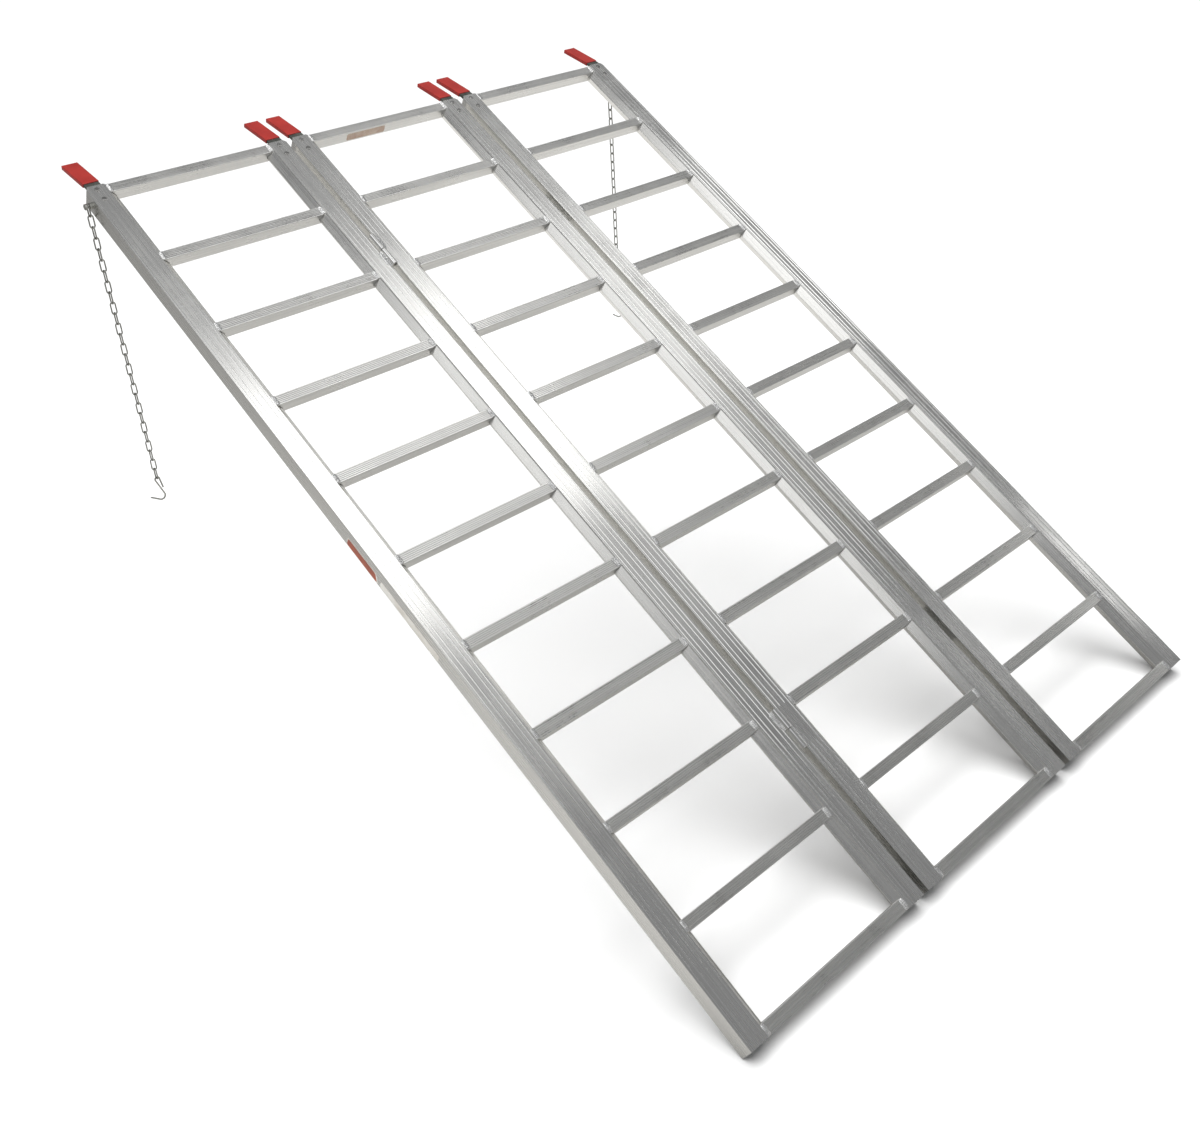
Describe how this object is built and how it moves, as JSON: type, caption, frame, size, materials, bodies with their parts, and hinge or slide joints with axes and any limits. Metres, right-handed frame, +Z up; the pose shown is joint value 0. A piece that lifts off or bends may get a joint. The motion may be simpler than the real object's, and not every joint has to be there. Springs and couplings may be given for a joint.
{
  "type": "folding loading ramp",
  "caption": "Wide folding loading ramp of hinged ladder-style aluminium panels with coated steel lips and hooked safety chains.",
  "frame": {"origin": "centre of the box at ground level; the foot of the ramp stands on z = 0", "axes": "+Z up with the ramp set at its working slope, +X across the ramp, +Y from the foot towards the vehicle"},
  "size_m": [1.3202, 1.6576, 0.9956],
  "materials": {
    "mill_aluminium": "brushed mill finish",
    "dark_steel": "dark bare steel",
    "red_coating": "dipped vinyl",
    "rivet_steel": "plain",
    "zinc_steel": "dull zinc plate"
  },
  "bodies": {
    "middle_panel": {"middle_rail_left": "mill_aluminium", "middle_rail_right": "mill_aluminium", "middle_rung_01": "mill_aluminium", "middle_rung_02": "mill_aluminium", "middle_rung_03": "mill_aluminium", "middle_rung_04": "mill_aluminium", "middle_rung_05": "mill_aluminium", "middle_rung_06": "mill_aluminium", "middle_rung_07": "mill_aluminium", "middle_rung_08": "mill_aluminium", "middle_rung_09": "mill_aluminium", "middle_rung_10": "mill_aluminium", "middle_rung_11": "mill_aluminium", "middle_tongues": "dark_steel", "middle_tongue_sleeves": "red_coating", "middle_tongue_rivets": "rivet_steel", "middle_hinge_barrels": "mill_aluminium", "hinge_pins": "dark_steel"},
    "left_panel": {"left_rail_outer": "mill_aluminium", "left_rail_inner": "mill_aluminium", "left_rung_01": "mill_aluminium", "left_rung_02": "mill_aluminium", "left_rung_03": "mill_aluminium", "left_rung_04": "mill_aluminium", "left_rung_05": "mill_aluminium", "left_rung_06": "mill_aluminium", "left_rung_07": "mill_aluminium", "left_rung_08": "mill_aluminium", "left_rung_09": "mill_aluminium", "left_rung_10": "mill_aluminium", "left_rung_11": "mill_aluminium", "left_tongues": "dark_steel", "left_tongue_sleeves": "red_coating", "left_tongue_rivets": "rivet_steel", "left_hinge_barrels": "mill_aluminium", "left_chain_bolt": "zinc_steel", "left_chain_nuts": "zinc_steel"},
    "right_panel": {"right_rail_inner": "mill_aluminium", "right_rail_outer": "mill_aluminium", "right_rung_01": "mill_aluminium", "right_rung_02": "mill_aluminium", "right_rung_03": "mill_aluminium", "right_rung_04": "mill_aluminium", "right_rung_05": "mill_aluminium", "right_rung_06": "mill_aluminium", "right_rung_07": "mill_aluminium", "right_rung_08": "mill_aluminium", "right_rung_09": "mill_aluminium", "right_rung_10": "mill_aluminium", "right_rung_11": "mill_aluminium", "right_tongues": "dark_steel", "right_tongue_sleeves": "red_coating", "right_tongue_rivets": "rivet_steel", "right_hinge_barrels": "mill_aluminium", "right_chain_bolt": "zinc_steel", "right_chain_nuts": "zinc_steel"},
    "left_chain": {"left_chain": "zinc_steel"},
    "left_hook": {"left_s_hook": "zinc_steel"},
    "right_chain": {"right_chain": "zinc_steel"},
    "right_hook": {"right_s_hook": "zinc_steel"}
  },
  "joints": [
    {"name": "fold_left", "type": "hinge", "parent": "middle_panel", "child": "left_panel", "pos_m": [-0.20983, -0.04663, 0.50297], "axis": [0, 0.8572, 0.515], "range_deg": [0, 180]},
    {"name": "fold_right", "type": "hinge", "parent": "middle_panel", "child": "right_panel", "pos_m": [0.21801, -0.02536, 0.46757], "axis": [0, 0.8572, 0.515], "range_deg": [0, 180]},
    {"name": "left_chain_swing", "type": "hinge", "parent": "left_panel", "child": "left_chain", "pos_m": [-0.63041, 0.72629, 0.94173], "axis": [1, 0, 0], "range_deg": [-55, 50]},
    {"name": "right_chain_swing", "type": "hinge", "parent": "right_panel", "child": "right_chain", "pos_m": [0.63959, 0.72629, 0.94173], "axis": [1, 0, 0], "range_deg": [0, 242]},
    {"name": "left_hook_swing", "type": "hinge", "parent": "left_chain", "child": "left_hook", "pos_m": [-0.63771, 0.72629, 0.39548], "axis": [0, 1, 0], "range_deg": [-45, 45]},
    {"name": "right_hook_swing", "type": "hinge", "parent": "right_chain", "child": "right_hook", "pos_m": [0.65019, 0.72629, 0.39548], "axis": [0, 1, 0], "range_deg": [-45, 45]}
  ],
  "couplings": [
    {"joint": "right_chain_swing", "follows": "fold_right", "ratio": 1.3444}
  ]
}
